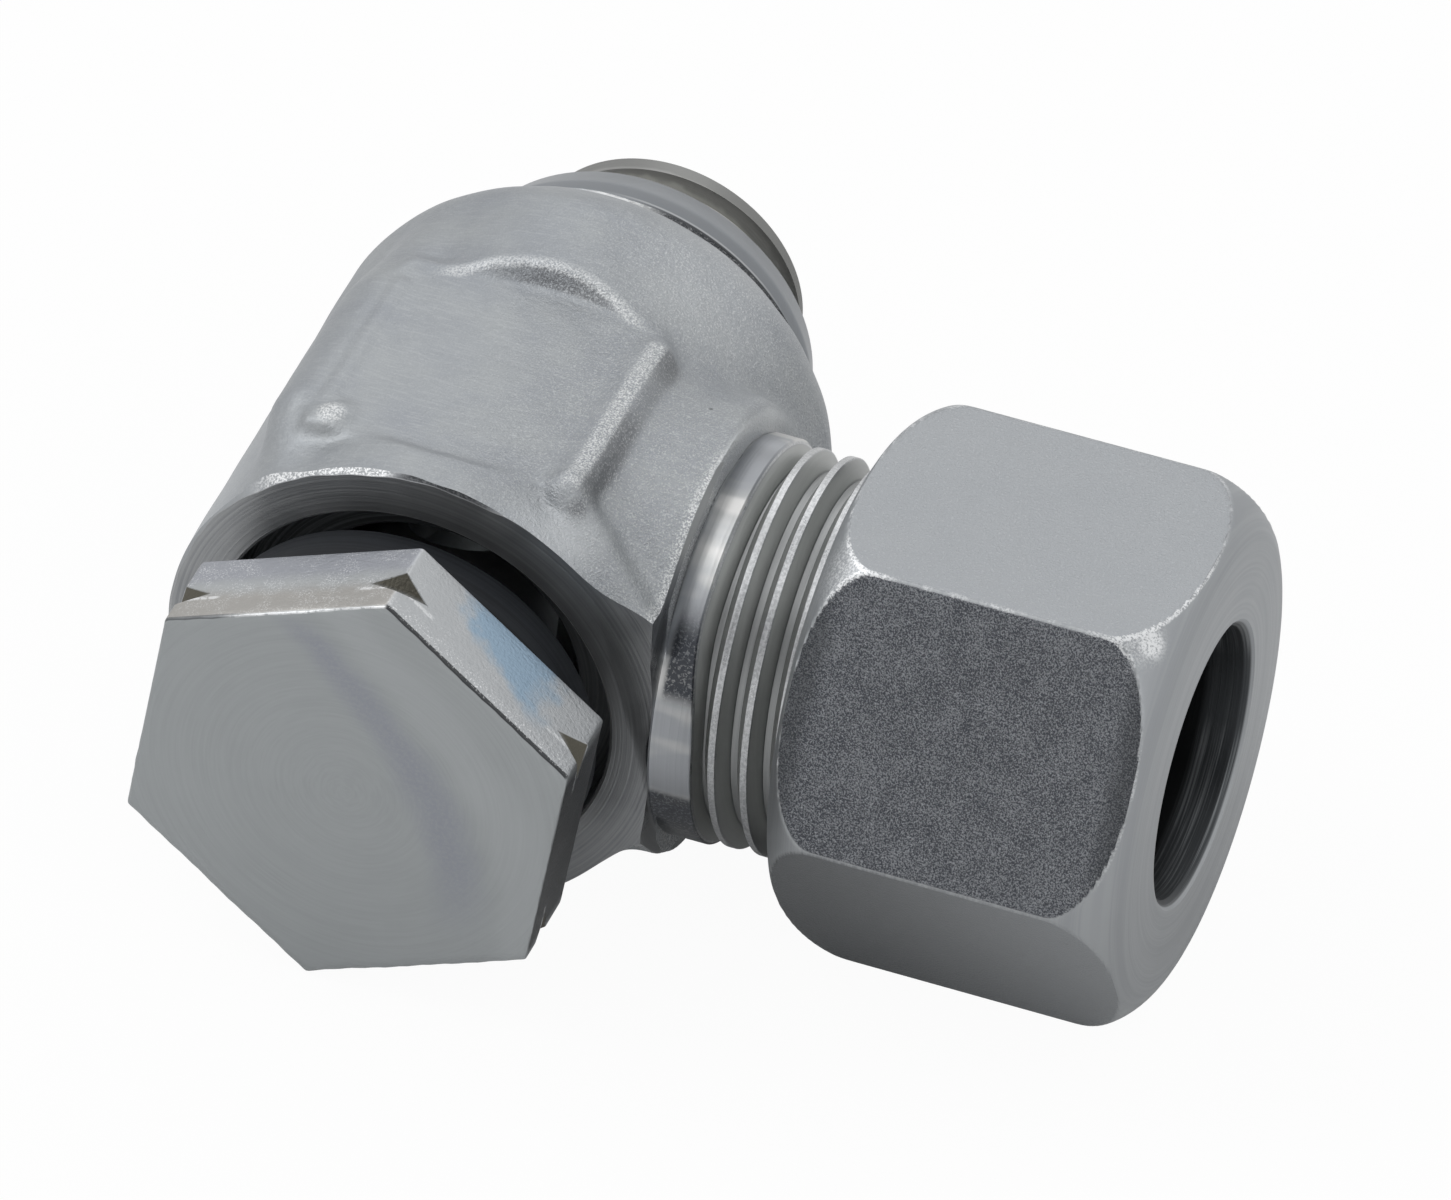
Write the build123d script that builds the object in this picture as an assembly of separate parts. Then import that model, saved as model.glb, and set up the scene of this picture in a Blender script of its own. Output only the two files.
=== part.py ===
# Banjo fitting for a hydraulic tube of 12 mm, lying as it does in the photo.
# Millimetres. x runs along the tube branch towards its nut, y along the
# hollow bolt with the hex head at -y, z up. The pieces are built with the
# axes of bolt and branch crossing at the origin, and moved at the end so that
# the origin lies on the bolt axis in the middle of the port thread.
# One STEP file per physical piece goes to parts/.
import os
from math import cos, pi, radians, tan

from build123d import *

# Tube end, light series, tube of 12 mm (ISO 8434-1)
tube_radius = 6.0
tube_clearance = 0.2
seat_clearance = 0.1
branch_thread_radius = 9.0
branch_thread_pitch = 1.5
branch_thread_start = 13.0
branch_end = 24.4
cone_mouth_radius = 7.15
cone_half_angle = 12.0
tube_stop = 17.4
branch_bore_radius = 4.6
crest_flat = 0.3
root_flat = 0.3

# Union nut
nut_across_flats = 22.0
nut_start = 17.2
nut_end = 33.7
nut_face_radius = 10.2
nut_bore_length = 3.2
nut_thread_clearance = 0.08
nut_mouth_bevel = 0.6

# Cutting ring
ring_nose_depth = 2.2
ring_nose_wall = 0.3
ring_outer_radius = 7.7
ring_back_radius = 6.9
ring_tube_clearance = 0.06
ring_clearance = 0.08

# Body barrel, turned and forged about the bolt axis
barrel_front = -9.0
barrel_front_radius = 11.55
barrel_back_radius = 11.95
front_face_radius = 11.25
front_bevel = 0.3
shoulder_start = 11.6
shoulder_radius = 9.7
collar_start = 15.45
collar_end = 19.0
collar_radius = 9.5
collar_end_radius = 8.5
collar_bevel = 0.3
counterbore_radius = 9.28
counterbore_depth = 2.6
bolt_bore_radius = 6.85
chamber_radius = 7.9
chamber_half_width = 4.2
port_recess_radius = 7.8
port_recess_depth = 1.2

# Forged pad and branch boss; the underside is flush with the nut's lower flat
pad_height = 11.0
pad_left = -6.5
pad_right = 6.2
pad_front = -6.3
pad_back = 6.4
pad_draft = 0.5
pad_round = 2.4
rail_radius = 0.5
rail_back = 4.4
boss_radius = 10.5
boss_turned_start = 10.7
neck_facing_radius = 11.4
shoulder_turn_end = 11.2
shoulder_turn_radius = 10.0
neck_ring_start = 12.1
neck_ring_radius = 9.15
relief_depth = 0.9

# Hollow bolt with its hex head
head_across_flats = 19.0
head_turn = 142.07
head_height = 4.45
head_front = -16.8
notch_radius = 10.26
notch_front = 1.35
notch_width = 1.0
shank_radius = 6.75
bolt_end = 23.4
bolt_waist_radius = 5.5
bolt_waist_half_width = 3.6
bolt_backed_out = 3.3
bolt_bore = 3.25
cross_hole_radius = 2.4
port_thread_radius = 6.58
port_thread_pitch = 1.337
port_thread_depth = 0.856
port_thread_length = 2.6
bolt_relief_width = 4.2
relief_flank = 0.6
end_bevel = 0.8

# Seal rings
head_seal_thickness = 2.5
seal_radial_gap = 0.15
seal_shank_gap = 0.05
port_seal_thickness = 1.6
port_seal_bore_gap = 0.06

# Derived sizes
tube_bore_radius = tube_radius + tube_clearance
head_back = head_front + head_height
seat_radius = tube_radius + seat_clearance
cone_depth = (cone_mouth_radius - seat_radius) / tan(radians(cone_half_angle))
branch_thread_depth = 0.6134 * branch_thread_pitch
branch_root_radius = branch_thread_radius - branch_thread_depth
nut_inside_radius = branch_thread_radius + nut_thread_clearance
nut_bore_start = nut_end - nut_bore_length
ring_nose = branch_end - ring_nose_depth
underside = -nut_across_flats / 2
nut_cone_start = nut_bore_start - (nut_inside_radius - tube_bore_radius)
hole_line = -bolt_backed_out

along_x = Axis.X
along_y = Axis.Y


def turned_about_x(*points):
    """Solid of revolution about x from (x, radius) points."""
    face = make_face(Polyline(*points, close=True))
    return revolve(face, along_x, 360)


def turned_about_y(*points):
    """Solid of revolution about y from (radius, y) points."""
    face = make_face(Polyline(*points, close=True))
    return revolve(face, along_y, 360)


def tube_about_y(outer, inner, start, end):
    """Plain ring about y between two stations."""
    return turned_about_y((inner, start), (outer, start), (outer, end), (inner, end))


def hexagon_prism_x(across_flats, start, end):
    """Hexagonal bar along x with flats facing up and down."""
    side = RegularPolygon(across_flats / 2 / cos(pi / 6), 6, rotation=0)
    plane = Plane(origin=(start, 0, 0), x_dir=(0, 1, 0), z_dir=(1, 0, 0))
    return extrude(plane * side, end - start)


def hexagon_prism_y(across_flats, turn, start, end):
    """Hexagonal bar along y, its first corner turned from +x towards +z."""
    corner = across_flats / 2 / cos(pi / 6)
    side = RegularPolygon(corner, 6, rotation=turn)
    plane = Plane(origin=(0, start, 0), x_dir=(1, 0, 0), z_dir=(0, -1, 0))
    return extrude(plane * side, -(end - start))


def groove_rings(crest, root, pitch, first, last):
    """Thread grooves as rings: (station, radius) points of every V."""
    flank = (pitch - crest_flat - root_flat) / 2
    rows = []
    station = first
    while station < last:
        rows.append((
            (station, crest + 0.2),
            (station, crest),
            (station + flank, root),
            (station + flank + root_flat, root),
            (station + pitch - crest_flat, crest),
            (station + pitch - crest_flat, crest + 0.2),
        ))
        station += pitch
    return rows


# Body: the barrel
barrel_edge = Polyline(
    (shoulder_radius, collar_start),
    (collar_radius, collar_start),
    (collar_end_radius, collar_end - collar_bevel),
    (collar_end_radius - collar_bevel, collar_end),
    (0, collar_end),
    (0, barrel_front),
    (front_face_radius, barrel_front),
    (barrel_front_radius, barrel_front + front_bevel),
    (barrel_back_radius, shoulder_start),
)
shoulder_fall = barrel_back_radius - shoulder_radius
shoulder_arc = ThreePointArc(
    (barrel_back_radius, shoulder_start),
    (barrel_back_radius - 0.32 * shoulder_fall, (shoulder_start + collar_start) / 2),
    (shoulder_radius, collar_start),
)
barrel = revolve(make_face(barrel_edge + shoulder_arc), along_y, 360)

# Body: flats of the two forging dies on the crown and on the underside
pad_middle_x = (pad_left + pad_right) / 2
pad_middle_y = (pad_front + pad_back) / 2
pad_size_x = pad_right - pad_left
pad_size_y = pad_back - pad_front
pad_foot = Pos(pad_middle_x, pad_middle_y, 0) * Rectangle(
    pad_size_x + 2 * pad_draft, pad_size_y + 2 * pad_draft)
pad_top = Pos(pad_middle_x, pad_middle_y, pad_height) * Rectangle(pad_size_x, pad_size_y)
pad_block = loft([pad_foot, pad_top])
pad_round_z = pad_height - pad_round
pad_block += Pos(pad_left, pad_middle_y, pad_round_z) * Rot(90, 0, 0) * Cylinder(
    pad_round, pad_size_y)
pad_block += Pos(pad_left - pad_round / 2, pad_middle_y, pad_round_z / 2) * Box(
    pad_round, pad_size_y, pad_round_z)
crown_floor = Pos(pad_middle_x, pad_middle_y, pad_height) * Rectangle(pad_size_x, pad_size_y)
crown_mouth = Pos(pad_middle_x, pad_middle_y, pad_height + 1) * Rectangle(
    pad_size_x + 1.6, pad_size_y + 1.6)
crown_cut = loft([crown_floor, crown_mouth])
rail_length = rail_back - pad_front
rail_plane = Plane(
    origin=(pad_right - rail_radius, pad_front, pad_height - 0.05),
    x_dir=(1, 0, 0), z_dir=(0, 1, 0))
rail = extrude(rail_plane * Circle(rail_radius), rail_length)
under_block = Pos(pad_middle_x, pad_middle_y, underside / 2) * Box(
    pad_size_x, pad_size_y, -underside)
under_cut = Pos(0, 0, underside - 5) * Box(40, 60, 10)

# Body: the boss, its turned shoulder and the plain neck ring
boss = turned_about_x(
    (0, 0),
    (0, boss_radius),
    (pad_right, boss_radius),
    (boss_turned_start, boss_radius - 0.1),
    (shoulder_turn_end, shoulder_turn_radius),
    (neck_ring_start - 0.45, neck_ring_radius + 0.25),
    (neck_ring_start, neck_ring_radius),
    (branch_thread_start, neck_ring_radius),
    (branch_thread_start + 0.35, branch_thread_radius),
    (branch_end - relief_depth, branch_thread_radius),
    (branch_end, branch_thread_radius - relief_depth),
    (branch_end, 0),
)
neck_facing = turned_about_x(
    (boss_turned_start - 0.1, neck_facing_radius),
    (shoulder_turn_end, shoulder_turn_radius),
    (neck_ring_start - 0.45, neck_ring_radius + 0.25),
    (neck_ring_start, neck_ring_radius),
    (branch_thread_start, neck_ring_radius),
    (branch_thread_start, neck_facing_radius + 1.6),
    (shoulder_turn_end, neck_facing_radius + 0.6),
)
front_cut = Pos(shoulder_turn_end - 20, barrel_front - 10, 0) * Box(40, 20, 40)

body = barrel - crown_cut + pad_block + rail - neck_facing + boss
body = body - front_cut + under_block - under_cut
for points in groove_rings(
        branch_thread_radius, branch_root_radius, branch_thread_pitch,
        branch_thread_start + 0.2, branch_end - 0.4):
    body -= turned_about_x(*points)

# Body: counterbore, bolt bore, chamber, port recess, tube seat and cone
body -= tube_about_y(counterbore_radius, 0, barrel_front - 2, barrel_front + counterbore_depth)
body -= tube_about_y(bolt_bore_radius, 0, barrel_front, collar_end + 1)
body -= tube_about_y(chamber_radius, 0, -chamber_half_width, chamber_half_width)
body -= tube_about_y(port_recess_radius, 0, collar_end - port_recess_depth, collar_end + 1)
body -= turned_about_x(
    (0, 0),
    (0, branch_bore_radius),
    (tube_stop, branch_bore_radius),
    (tube_stop, seat_radius),
    (branch_end - cone_depth, seat_radius),
    (branch_end, cone_mouth_radius),
    (branch_end + 1, cone_mouth_radius),
    (branch_end + 1, 0),
)

# Hollow bolt: head with the turned notch at its corners
head = hexagon_prism_y(head_across_flats, head_turn, head_front, head_back)
notch_start = head_front + notch_front
head -= turned_about_y(
    (notch_radius, notch_start + notch_width / 2),
    (notch_radius + 1.2, notch_start - notch_width / 2),
    (notch_radius + 1.2, notch_start + notch_width * 1.5),
)

# Hollow bolt: shank, relief, threaded end, drillings
crest_end = bolt_end - end_bevel
thread_start = crest_end - port_thread_length
relief_start = thread_start - bolt_relief_width
relief_radius = port_thread_radius - port_thread_depth - 0.1
shank = turned_about_y(
    (0, head_back),
    (shank_radius, head_back),
    (shank_radius, hole_line - bolt_waist_half_width - 0.9),
    (bolt_waist_radius, hole_line - bolt_waist_half_width),
    (bolt_waist_radius, hole_line + bolt_waist_half_width),
    (shank_radius, hole_line + bolt_waist_half_width + 0.9),
    (shank_radius, relief_start - relief_flank),
    (relief_radius, relief_start),
    (relief_radius, thread_start - relief_flank),
    (port_thread_radius, thread_start),
    (port_thread_radius, crest_end),
    (port_thread_radius - end_bevel, bolt_end),
    (0, bolt_end),
)
for points in groove_rings(
        port_thread_radius, port_thread_radius - port_thread_depth,
        port_thread_pitch, thread_start + 0.25, crest_end - port_thread_pitch):
    shank -= turned_about_y(*[(radius, station) for station, radius in points])
banjo_bolt = head + shank
banjo_bolt -= tube_about_y(bolt_bore, 0, hole_line - cross_hole_radius - 1, bolt_end + 1)
for turn in (0, 90):
    cross_hole = Pos(0, hole_line, 0) * Rot(0, turn, 0) * Cylinder(cross_hole_radius, 30)
    banjo_bolt -= cross_hole

# Seal ring under the head and seal ring in the port face
head_seal = tube_about_y(
    counterbore_radius - seal_radial_gap,
    shank_radius + seal_shank_gap,
    head_back + seal_shank_gap,
    head_back + seal_shank_gap + head_seal_thickness - 0.1)
port_seal_start = collar_end - port_recess_depth
port_seal = tube_about_y(
    port_recess_radius - seal_radial_gap,
    shank_radius + port_seal_bore_gap,
    port_seal_start + 0.02,
    port_seal_start + port_seal_thickness)

# Union nut: hexagon with rounded corner ends, thread space, shoulder and bore
nut_corner = nut_across_flats / 2 / cos(pi / 6)
nut_hexagon = hexagon_prism_x(nut_across_flats, nut_start, nut_end)
nut_round_edge = Polyline(
    (nut_end, 0),
    (nut_start, 0),
    (nut_start, nut_face_radius + 0.2),
)
nut_inner_arc = ThreePointArc(
    (nut_start, nut_face_radius + 0.2),
    (nut_start + 1.1, nut_face_radius + 1.8),
    (nut_start + 3.3, nut_corner + 0.02),
)
nut_side = Line((nut_start + 3.3, nut_corner + 0.02), (nut_end - 3.7, nut_corner + 0.02))
nut_outer_arc = ThreePointArc(
    (nut_end - 3.7, nut_corner + 0.02),
    (nut_end - 1.25, nut_face_radius + 1.8),
    (nut_end, nut_face_radius),
)
nut_close = Line((nut_end, nut_face_radius), (nut_end, 0))
nut_turned = revolve(
    make_face(nut_round_edge + nut_inner_arc + nut_side + nut_outer_arc + nut_close),
    along_x, 360)
union_nut = nut_hexagon & nut_turned
union_nut -= turned_about_x(
    (nut_start - 1, 0),
    (nut_start - 1, nut_inside_radius + nut_mouth_bevel),
    (nut_start, nut_inside_radius + nut_mouth_bevel),
    (nut_start + nut_mouth_bevel, nut_inside_radius),
    (nut_cone_start, nut_inside_radius),
    (nut_bore_start, tube_bore_radius),
    (nut_end - 0.35, tube_bore_radius),
    (nut_end, tube_bore_radius + 0.35),
    (nut_end + 1, tube_bore_radius + 0.35),
    (nut_end + 1, 0),
)

# Cutting ring between the cone of the branch and the shoulder of the nut
cone_radius_at_nose = cone_mouth_radius - (branch_end - ring_nose) * tan(radians(cone_half_angle))
ring_inside_radius = tube_radius + ring_tube_clearance
ring_back = nut_bore_start - (ring_back_radius - tube_bore_radius) - ring_clearance
ring_shoulder_start = ring_back - (ring_outer_radius - ring_back_radius)
cutting_ring = turned_about_x(
    (ring_nose, cone_radius_at_nose - ring_clearance - ring_nose_wall),
    (ring_nose, cone_radius_at_nose - ring_clearance),
    (branch_end, cone_mouth_radius - ring_clearance),
    (branch_end + 0.6, cone_mouth_radius - ring_clearance),
    (branch_end + 1.2, ring_outer_radius),
    (ring_shoulder_start, ring_outer_radius),
    (ring_back, ring_back_radius),
    (ring_back, ring_inside_radius),
    (ring_nose + 1.2, ring_inside_radius),
)

pieces = {
    "body": body,
    "banjo_bolt": banjo_bolt,
    "head_seal": head_seal,
    "port_seal": port_seal,
    "union_nut": union_nut,
    "cutting_ring": cutting_ring,
}

os.makedirs("parts", exist_ok=True)
origin_on_bolt = (thread_start + crest_end) / 2
for node, shape in pieces.items():
    shape = Pos(0, -origin_on_bolt, 0) * shape
    export_step(shape, f"parts/{node}.step")
    box = shape.bounding_box()
    print(node, "solids", len(shape.solids()), "volume", round(shape.volume, 1), box.min, box.max)
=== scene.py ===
import bpy
import math
import numpy as np
from mathutils import Matrix, Vector


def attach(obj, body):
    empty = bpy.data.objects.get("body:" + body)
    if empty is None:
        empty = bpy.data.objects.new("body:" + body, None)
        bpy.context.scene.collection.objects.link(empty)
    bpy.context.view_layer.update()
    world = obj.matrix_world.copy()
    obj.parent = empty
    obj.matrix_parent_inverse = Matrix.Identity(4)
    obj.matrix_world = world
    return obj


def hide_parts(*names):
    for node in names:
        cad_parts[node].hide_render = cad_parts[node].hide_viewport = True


# Banjo fitting for a 12 mm tube. All shapes are worked out in millimetres with
# the axes of the bolt (y) and of the branch (x) crossing at zero, and go to the
# frame, metres from the middle of the port thread, when a piece is finished.
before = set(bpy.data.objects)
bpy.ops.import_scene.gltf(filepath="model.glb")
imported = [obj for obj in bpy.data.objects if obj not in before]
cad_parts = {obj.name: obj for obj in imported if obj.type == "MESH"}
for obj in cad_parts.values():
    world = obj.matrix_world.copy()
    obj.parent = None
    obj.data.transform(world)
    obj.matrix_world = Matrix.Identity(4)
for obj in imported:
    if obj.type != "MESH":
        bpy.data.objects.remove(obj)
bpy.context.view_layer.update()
boltOrigin = 21.3      # y of the frame's zero
toFrame = Matrix.Scale(0.001, 4) @ Matrix.Translation((0, -boltOrigin, 0))
print("frame loaded")


# Shader wiring

def sign(operation, turned=False):
    # a wire's method for one sign, or with the wire on the sign's right
    def method(wire, other):
        return wire.maths(operation, *((other, wire) if turned else (wire, other)))
    return method


class Wire:
    # one output socket; sums and products of wires add their Math nodes
    def __init__(self, tree, socket=None):
        self.tree = tree
        self.socket = socket

    def node(self, kind, settings=None, inputs=None, output=0):
        made = self.tree.nodes.new(kind)
        for key, value in (settings or {}).items():
            setattr(made, key, value)
        for key, value in (inputs or {}).items():
            socket = self.find(made.inputs, key)
            if isinstance(value, Wire):
                self.tree.links.new(value.socket, socket)
            else:
                socket.default_value = value
        if isinstance(output, tuple):
            return [Wire(self.tree, self.find(made.outputs, each)) for each in output]
        return Wire(self.tree, self.find(made.outputs, output))

    def find(self, sockets, key):
        # a socket by its identifier, or else by its number or name
        known = [socket for socket in sockets if socket.identifier == key]
        return known[0] if known else sockets[key]

    def maths(self, operation, *values):
        return self.node("ShaderNodeMath", {"operation": operation}, dict(enumerate(values)))

    __add__, __radd__ = sign("ADD"), sign("ADD", True)
    __sub__, __rsub__ = sign("SUBTRACT"), sign("SUBTRACT", True)
    __mul__, __rmul__ = sign("MULTIPLY"), sign("MULTIPLY", True)
    __truediv__, greater, lesser = sign("DIVIDE"), sign("MAXIMUM"), sign("MINIMUM")

    def __abs__(self):
        return self.maths("ABSOLUTE", self)

    def above(self, low, high):
        # 0 below low, 1 above high, soft between; turned round when low > high
        return self.node("ShaderNodeMapRange", {"interpolation_type": "SMOOTHSTEP"}, {
            "Value": self, "From Min": low, "From Max": high})

    def within(self, low, full, ebbing, high):
        # 0 below low and above high, 1 from full to ebbing
        return self.above(low, full) * self.above(high, ebbing)

    def root(self):
        return self.maths("SQRT", self)


def bareTree(owner):
    # empties the nodes of a material or world, and gives the wire to start from
    owner.use_nodes = True
    owner.node_tree.nodes.clear()
    return Wire(owner.node_tree)


def endTree(owner, shader, kind="ShaderNodeOutputMaterial"):
    output = owner.node_tree.nodes.new(kind)
    owner.node_tree.links.new(shader.socket, output.inputs["Surface"])


def mixed(mask, one, two):
    # colour one where the mask is 0, colour two where it is 1
    one = (*one, 1) if isinstance(one, tuple) else one
    two = (*two, 1) if isinstance(two, tuple) else two
    return mask.node("ShaderNodeMix", {"data_type": "RGBA"}, {
        "Factor_Float": mask, "A_Color": one, "B_Color": two}, "Result_Color")


def layered(look, colour, layers):
    # each layer is a mask and the colour that it lays over what is there, which
    # may be a name in the look
    for mask, tint in layers:
        colour = mixed(mask, colour, look[tint] if isinstance(tint, str) else tint)
    return colour


def noise(place, scale, detail=2.0, rough=0.5, stretch=None):
    if stretch:
        place = place.node("ShaderNodeMapping", {}, {"Vector": place, "Scale": stretch})
    return place.node("ShaderNodeTexNoise", {}, {
        "Vector": place, "Scale": scale, "Detail": detail, "Roughness": rough})


def bump(height, depth, before=None):
    # depth in millimetres for a height from 0 to 1
    inputs = {"Height": height, "Distance": depth * 0.001, "Strength": 1.0}
    if before:
        inputs["Normal"] = before
    return height.node("ShaderNodeBump", {}, inputs)


def startMaterial(name):
    # a bare material, and the place in millimetres with its three parts
    material = bpy.data.materials.new(name)
    start = bareTree(material)
    held = start.node("ShaderNodeTexCoord", {}, {}, "Object")
    place = start.node("ShaderNodeMapping", {}, {
        "Vector": held, "Location": (0, boltOrigin, 0), "Scale": (1000, 1000, 1000)})
    parts = start.node("ShaderNodeSeparateXYZ", {}, {0: place}, (0, 1, 2))
    return material, place, parts


def endMaterial(material, colour, metallic, roughness, normal, specular=0.5):
    endTree(material, Wire(material.node_tree).node("ShaderNodeBsdfPrincipled", {}, {
        "Base Color": colour, "Metallic": metallic, "Roughness": roughness, "Normal": normal,
        "Specular IOR Level": specular}))
    return material


def near(place, spot, inner, outer):
    # 1 within the inner distance of a spot, 0 beyond the outer one, in millimetres
    away = {0: place, 1: spot}
    return place.node("ShaderNodeVectorMath", {"operation": "DISTANCE"}, away, "Value").above(
        outer, inner)


def turnedMarks(place, along, across, other, fine, wander=0.6):
    # radius and marks of the cutting edge about an axis: the marks are the same
    # all round, but slowly changing with the angle. along runs with the axis,
    # across and other are the two parts square to it.
    radius = (across * across + other * other).root()
    spread = radius.greater(0.01)
    mark = (along + radius) * fine
    seat = place.node("ShaderNodeCombineXYZ", {}, {
        0: mark, 1: across / spread * wander, 2: other / spread * wander})
    return radius, noise(seat, 1.0, 3.0, 0.6)


# Materials: one dictionary of looks and one function for each finish

forgedLook = {
    "dark": (0.272, 0.288, 0.310), "light": (0.330, 0.346, 0.358),
    "spark": (0.72, 0.73, 0.73), "shade": (0.12, 0.124, 0.13),
    "deepShade": (0.05, 0.052, 0.056), "neckSide": (0.60, 0.62, 0.63),
    "paintedSheen": (0.50, 0.52, 0.54),
    "grain": 11.0,         # grains per millimetre
    "grainDepth": 0.06,
}


def forgedFinish():
    look = forgedLook
    material, place, (x, y, z) = startMaterial("forgedSkin")
    cloud = noise(place, 0.32, 3.0)
    grain = noise(place, look["grain"], 2.0, 0.7)
    coarse = noise(place, 4.5, 2.0, 0.6)
    soft = noise(place, 1.6)
    scratches = noise(place, 2.6, 2.0, 0.6, (0.3, 3.4, 1.2))   # in the branch's direction
    grainy = (x + 1.5 * soft).above(-2.0, 6.0)        # the left flank is smoother
    # step behind the pad: painted shade on its wall, painted highlight on its rim
    up = z - 11.0
    lean = y + 0.028 * x * x - 1.15 * up              # 6.35 on the wall
    about = (x * x + z * z).root()
    shade = lean.within(6.05, 6.3, 6.45, 6.65) * up.above(0.03, 0.12) * about.above(11.75, 11.55)
    shade = shade * abs(x - 0.8).above(4.4, 0.8) * (0.3 + 0.7 * grain.above(0.62, 0.42))
    rim = about.above(11.5, 11.7) * lean.within(6.05, 6.3, 6.4, 6.8) * grain.above(0.35, 0.6)
    rim = rim * x.within(-5.4, -3.8, 4.0, 5.4)
    # rail on the right: painted highlight on its top, painted shade on its side and at the foot of
    # its front end
    along = y.within(-6.6, -6.2, 4.3, 4.9)
    railTop = abs(x - 5.95).above(0.55, 0.25) * z.above(10.95, 11.12) * along
    railSide = x.within(6.25, 6.45, 6.9, 7.4) * z.above(9.7, 10.3) * along
    railSide = railSide * (1 - 0.6 * abs(y - 1.2).above(2.4, 0.8))
    railFoot = near(place, (6.5, -6.75, 10.5), 0.25, 0.65) * grain.above(0.7, 0.4)
    # edge at the neck, worn and with sheen; painted lighter side at the neck; painted highlight on
    # the groove's edge and painted shade in the groove in front of the collar
    wornAndSheen = x.within(10.4, 10.9, 11.05, 11.2) * y.above(1.0, -2.5)
    neckSide = x.within(10.8, 11.05, 11.2, 11.4) * z.above(5.0, 8.5) * y.above(-4.5, -1.0)
    gutter = y.above(15.2, 15.36) * x.within(-2.0, -0.5, 0.8, 2.4)
    grooveShade = y.above(15.1, 15.28) * x.within(-0.3, 2.8, 8.0, 8.8) * z.above(2.0, 4.5)
    # painted sheen: lighter on the shoulder, the ridge and the left flank
    shoulder = near(place, (6.2, 10.4, 9.4), 1.0, 5.5)
    paintedSheen = shoulder * 0.4 + near(place, (6.0, -8.2, 10.0), 0.5, 3.0) * 0.85
    paintedSheen = paintedSheen + x.above(-7.0, -10.5) * (y.above(9.0, 2.0) * 0.3 + y.above(0.0, -8.0) * 0.3)
    leftBump = near(place, (-5.5, -5.6, 11.2), 0.35, 0.85)
    # bright grains with painted glints, most on the shoulder; painted highlights on the rim, the
    # bump at the left and the rail's top
    bright = (grain.above(0.5, 0.68) * (0.08 + 0.25 * grainy + 0.2 * shoulder) + rim * 0.5
              + leftBump * grain.above(0.4, 0.6) * 0.7
              + railTop * grain.above(0.4, 0.6) * 0.5 + wornAndSheen * grain.above(0.42, 0.58) * 0.7
              + gutter * 0.8)
    # painted shade of a small pore
    pore = near(place, (9.26, 2.38, 10.28), 0.06, 0.16)       # a single one, on the boss
    colour = layered(look, mixed(cloud.above(0.2, 0.8), look["dark"], look["light"]), [
        ((scratches.above(0.35, 0.7) - 0.5).greater(0.0) * 0.14, "spark"),
        (shade * 0.75 + railSide * 0.55, "shade"),
        (grooveShade * 0.85, "deepShade"),
        (neckSide * 0.6, "neckSide"),
        (paintedSheen, "paintedSheen"),
        (bright.lesser(0.9), "spark"),
        (railFoot * 0.6, "shade"),
        (pore * 0.8, "shade")])
    normal = bump(soft, 0.04)
    normal = bump(coarse * (0.15 + 0.6 * grainy), 0.07, normal)
    normal = bump(grain * (0.3 + 0.7 * grainy), look["grainDepth"], normal)
    return endMaterial(material, colour, 0.85, 0.42 + 0.1 * cloud, normal)


turnedLook = {
    "dark": (0.225, 0.234, 0.246), "light": (0.48, 0.488, 0.495),
    "fine": 9.0,           # marks per millimetre
    "depth": 0.012,
}
barrelLook = {
    "bevel": (0.34, 0.355, 0.37), "bevelSpark": (0.85, 0.86, 0.87), "darkerPart": (0.045, 0.047, 0.05),
    "lip": (0.60, 0.61, 0.62), "insideDark": (0.05, 0.056, 0.06),
    "insideLight": (0.14, 0.15, 0.158), "insideRight": (0.24, 0.25, 0.26),
    "collarDark": (0.235, 0.25, 0.27), "collarLight": (0.29, 0.305, 0.32),
    "collarEdge": (0.66, 0.67, 0.68), "deepShade": (0.04, 0.042, 0.045),
}


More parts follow.
